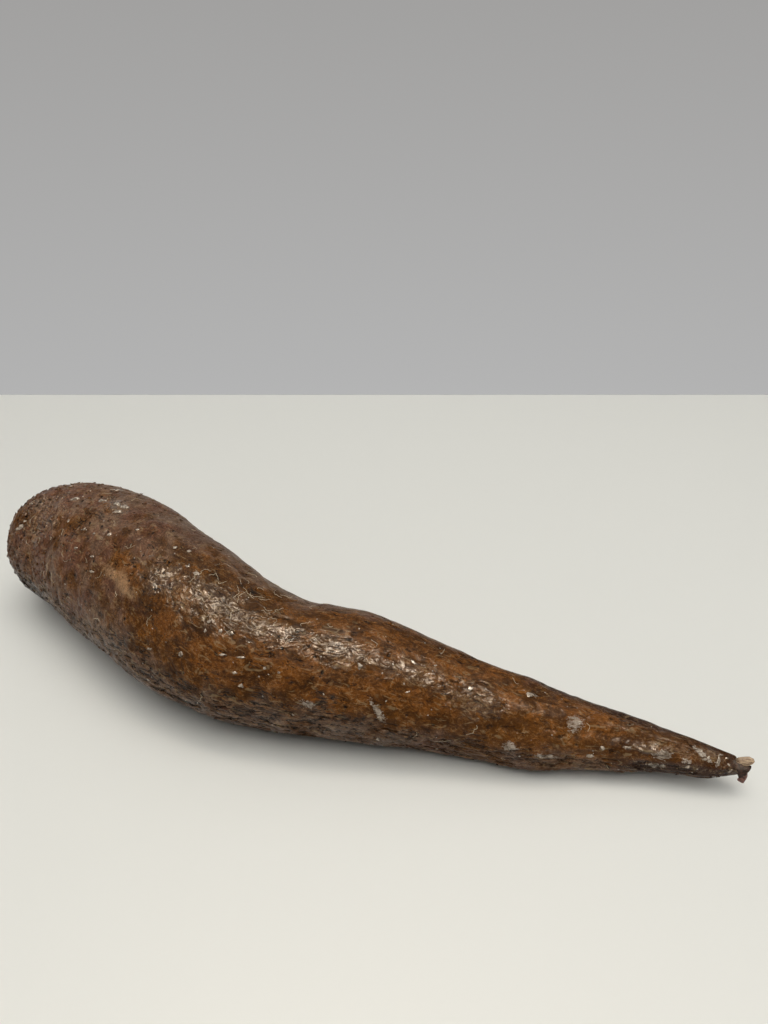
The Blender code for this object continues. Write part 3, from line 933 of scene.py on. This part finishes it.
def addChips(skin, material):
    # low uneven domes of wax pressed on the skin
    flat, points, run, normals = unrolled(skin), *(meshArray(skin, name) for name in ("co", "run", "normal"))
    domes = []
    for number, (along, angle, halfLength, halfWidth, slant) in enumerate(chips["places"]):
        gap = np.hypot(*offsets(flat, along, angle))
        near = gap < gap.min() + chips["near"]
        up = Vector(normals[near].mean(axis=0)).normalized()
        middle = Vector(points[near].mean(axis=0)) + up * chips["over"]
        ahead = Vector(run[gap.argmin()])
        across = up.cross(ahead).normalized()
        c, s = math.cos(math.radians(slant)), math.sin(math.radians(slant))
        long, wide = (ahead * c + across * s) * halfLength * mm, (across * c - ahead * s) * halfWidth * mm
        rings = []
        for reach, height in chips["rings"]:
            ring = []
            for turn, c, s in spokes(chips["sides"]):
                rough = 1 + chips["ragged"] * noise.noise(Vector((1.7 * c, 1.7 * s, number * 3.7)))
                bumpy = height + chips["bumpy"] * noise.noise(Vector((turn * 3, reach * 4, number * 1.3)))
                ring.append(middle + (long * c + wide * s) * reach * rough + up * bumpy * chips["rise"])
            rings.append(ring)
        domes.append((rings, (middle - up * chips["rise"], middle + up * chips["rise"])))
    lofted("waxChips", domes, material)


def layBits(skin, waxed):
    sharesOfSkin(skin.data)
    laying, curling = scalesTree(), threadsTree()
    fibre, loose = plainMaterial("driedFibre", threads), plainMaterial("looseWax", crumbs)
    for name, tree, values, material in (
            ("barkFlakes", laying, flakes, waxed), ("barkStrips", laying, strips, waxed),
            ("waxCrumbs", laying, crumbs, loose), ("barkThreads", curling, threads, fibre)):
        bits = grown(name, skin.data, tree, {**values, "Material": material})
        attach(bits, "root")
        print(name, len(bits.data.polygons), "faces")
    addChips(skin.data, plainMaterial("waxChip", chips))


def waxedFlesh():
    # starchy flesh under wax: cream with olive clouds, fibres that run out from the core, a brown rim
    made, tree, shader = newMaterial("waxedFlesh")
    add = partial(addNode, tree)
    disc = add("Attribute", out=1, attribute_name="disc")
    flat = add("VectorMath", (disc, (1, 1, 0)), "MULTIPLY")
    away = add("VectorMath", (flat,), "LENGTH", out=1)
    spoke = add("VectorMath", (flat,), "NORMALIZE")
    spoke = add("VectorMath", (disc, (0.05, 0.05, 0.0), spoke), "MULTIPLY_ADD")
    streak = add("TexNoise", {"Vector": spoke, "Scale": 11.0, "Detail": 4.0, "Roughness": 0.6})
    cloud = add("TexNoise", {"Vector": disc, "Scale": 0.28, "Detail": 4.0, "Distortion": 0.6})
    grain = add("TexNoise", {"Vector": disc, "Scale": 1.6, "Detail": 4.0, "Roughness": 0.65})
    olive = add("MapRange", (cloud, 0.42, 0.62))
    colour = add("Mix", {0: olive, 6: linear(neck["cream"]), 7: linear(neck["olive"])}, **asColour)
    # ring of tired brown round the core, and the bast's brown edge
    ring = add("Math", (grain, 2.0, away), "MULTIPLY_ADD")
    shares = [add("MapRange", (ring, start, full, 0.0, 0.75), **eased)
              for start, full in ((5.4, 3.4), (10.9, 12.2))]
    shares.append(add("MapRange", (away, 2.0, 1.4)))
    for share, layer in zip(shares, ("tired", "bast", "core")):
        colour = add("Mix", {0: share, 6: colour, 7: linear(neck[layer])}, **asColour)
    for field, dark, light in ((streak, 0.72, 1.25), (grain, 0.8, 1.2)):
        lit = add("MapRange", (field, 0.35, 0.65, dark, light))
        colour = add("VectorMath", {0: colour, "Scale": lit}, "SCALE")
    height = add("Math", (streak, 0.5, grain), "MULTIPLY_ADD")
    bump = add("Bump", {"Strength": 1.0, "Distance": 0.18 * mm, "Height": height})
    plug(tree, shader, {"Base Color": colour, "Roughness": 0.5, "Normal": bump,
                        "Coat Weight": 0.5, "Coat Roughness": 0.1, "Coat Normal": bump})
    return made


def addNeckFlesh(skin):
    # a thin uneven disc of flesh set in the ring of bark, with the woody core standing out of it
    facing, middle = Vector(neck["facing"]), Vector(neck["middle"])
    side = facing.cross(Vector((0, 0, 1))).normalized()
    rise = side.cross(facing)
    points = meshArray(skin) - np.array(middle)
    flat = np.stack([points @ np.array(axis) for axis in (side, rise, facing)], axis=1)
    girth = np.hypot(flat[:, 0], flat[:, 1])
    low, high = neck["rimLevels"]
    rim = (flat[:, 2] > low) & (flat[:, 2] < high) & (girth > neck["rimFrom"])

    def waves(angles):
        swing = np.outer(angles, (1, 2, 3))
        return np.concatenate([np.ones((len(swing), 1)), np.cos(swing), np.sin(swing)], axis=1)

    outline = np.linalg.lstsq(waves(np.arctan2(flat[rim, 1], flat[rim, 0])), girth[rim], rcond=None)[0]
    rings, notes = [], []
    for share, height in neck["rings"]:
        ring = []
        for angle, c, s in spokes(neck["sides"]):
            reach = share * float((waves([angle]) @ outline)[0])
            x, y = reach * c, reach * s
            bumpy = noise.noise(Vector((x, y, 0)) / neck["lumps"])
            bumpy += 0.5 * noise.noise(Vector((x, y, 9)) / neck["grains"])
            high = height * mm + bumpy * neck["uneven"]
            ring.append(middle + side * x + rise * y + facing * high)
            notes.append((x / mm, y / mm, high / mm))
        rings.append(ring)
    made = loft("neckFlesh", rings, waxedFlesh())
    notes += [np.mean(notes[:neck["sides"]], axis=0), np.mean(notes[-neck["sides"]:], axis=0)]
    addNote(made.data, "disc", np.array(notes))


splinter = {  # the snapped core, in millimetres
    "from": (138.2, 7.55, 11.8),
    "to": (142.5, 8.15, 14.2),
    # share of its length, half height and half thickness
    "taper": ((0.0, 1.5, 1.2), (0.2, 1.85, 1.25), (0.4, 1.85, 1.2), (0.6, 1.7, 1.1), (0.74, 1.62, 1.0),
              (0.82, 1.58, 0.9), (0.9, 1.12, 0.7), (0.95, 0.85, 0.6), (1.0, 0.52, 0.45)),
    "below": 0.5,  # share by which its lower half narrows toward the end
    "grooves": 9,
    "grooveDepth": 0.08,
    "uneven": 0.05,
    "sides": 44,
    "dark": "#6b4f38",
    "pale": "#ccb08f",
}
tornBark = {  # ragged bark round the foot of the splinter
    "from": (138.0, 6.9, 10.0),
    "to": (141.6, 7.9, 12.0),
    "taper": ((0.0, 2.5, 2.4), (0.15, 2.8, 2.7), (0.3, 2.6, 2.5), (0.45, 2.45, 2.3), (0.6, 2.0, 2.0),
              (0.72, 1.9, 1.7), (0.82, 1.4, 1.2), (0.92, 0.9, 0.8), (1.0, 0.3, 0.3)),
    "below": 0.0,
    "grooves": 7,
    "grooveDepth": 0.2,
    "uneven": 0.45,
    "sides": 44,
    "colour": "#180e0a",  # torn dry bark, dull and nearly black
    "paler": "#4b3328",
    "cloud": 0.8 * mm,
    "roughness": 0.85,
}
hanging = {  # the strip of inner bark
    "middles": (
        (140.2, 7.7, 10.6), (140.75, 7.6, 9.2), (140.95, 7.5, 7.9), (140.85, 7.45, 6.6), (140.6, 7.4, 5.1)),
    "half": (1.0, 0.52),  # half width and half thickness
    "across": (0.935, -0.355, 0),
    "sides": 20,
    "flatness": (0.45, 0.6),  # powers that square off its section
    "uneven": 0.18,
    "colour": "#4a2c25",  # dried inner bark, reddish
    "paler": "#9c6a5b",
    "cloud": 1.2 * mm,
    "roughness": 0.45,
}


def splitWood():
    # dry split wood: cream and olive with long darker fibres, dull
    made, tree, shader = newMaterial("splitWood")
    add = partial(addNode, tree)
    long = add("VectorMath", (add("TexCoord", out=3), (350, 2400, 2400)), "MULTIPLY")
    streak = add("TexNoise", {"Vector": long, "Scale": 1.0, "Detail": 4.0, "Roughness": 0.65})
    streak = add("MapRange", (streak, 0.38, 0.64))
    colour = add("Mix", {0: streak, 6: linear(splinter["dark"]), 7: linear(splinter["pale"])}, **asColour)
    bump = add("Bump", {"Strength": 1.0, "Distance": 0.1 * mm, "Height": streak})
    plug(tree, shader, {"Base Color": colour, "Roughness": 0.6, "Normal": bump})
    return made


def addStub(name, given, material):
    # a fibrous stub that tapers from one point to another, grooved lengthwise and ragged at its end
    start, end = Vector(given["from"]), Vector(given["to"])
    run = (end - start).normalized()
    side = run.cross(Vector((0, 0, 1))).normalized()
    rise = side.cross(run)
    rings = []
    for share, high, thick in given["taper"]:
        ring = []
        for angle, c, s in spokes(given["sides"]):
            wave = math.sin(given["grooves"] * angle + 2.5 * share)
            rough = noise.noise(Vector((1.6 * c, 1.6 * s, 3.2 * share)))
            cut = 1.05 - given["grooveDepth"] * (0.5 + 0.5 * wave) ** 2 + given["uneven"] * rough
            tall = high * (1 - given["below"] * share * max(-s, 0))
            across = side * (c * thick * cut) + rise * (s * tall * cut)
            ragged = run * (2 * given["uneven"] * share * noise.noise(Vector((angle * 2, share * 3, 1))))
            ring.append((start + (end - start) * share + across + ragged) * mm)
        rings.append(ring)
    loft(name, rings, material)


def addStrip():
    # a short ribbon of reddish inner bark that hangs from the torn end
    middles = [Vector(point) * mm for point in hanging["middles"]]
    wide, thick = (half * mm for half in hanging["half"])
    across = Vector(hanging["across"]) * wide
    rings = []
    for number, middle in enumerate(middles):
        before, after = middles[max(number - 1, 0)], middles[min(number + 1, len(middles) - 1)]
        out = (after - before).normalized().cross(across).normalized() * thick
        ring = []
        for angle, c, s in spokes(hanging["sides"]):
            flat, full = (math.copysign(abs(x) ** power, x) for x, power in zip((c, s), hanging["flatness"]))
            ragged = hanging["uneven"] * noise.noise(Vector((number * 0.9, angle, 4)))
            ring.append(middle + across * flat + out * full + across * ragged)
        rings.append(ring)
    loft("hangingStrip", rings, plainMaterial("innerBark", hanging))


waxed = waxedBark()
coarse = coarseSkin(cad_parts["cassava_root"])
skin = grown("rootSkin", coarse, barkTree(), {"Levels": rootShape["levels"], "Material": waxed, **relief})
addSpots(skin.data)
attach(skin, "root")
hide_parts("cassava_root")
print("skin grown:", len(skin.data.polygons), "faces")
layBits(skin, waxed)
addNeckFlesh(coarse)
addStub("tipSplinter", splinter, splitWood())
addStub("tornBark", tornBark, plainMaterial("tornBark", tornBark))
addStrip()
print("cut face and tip added")
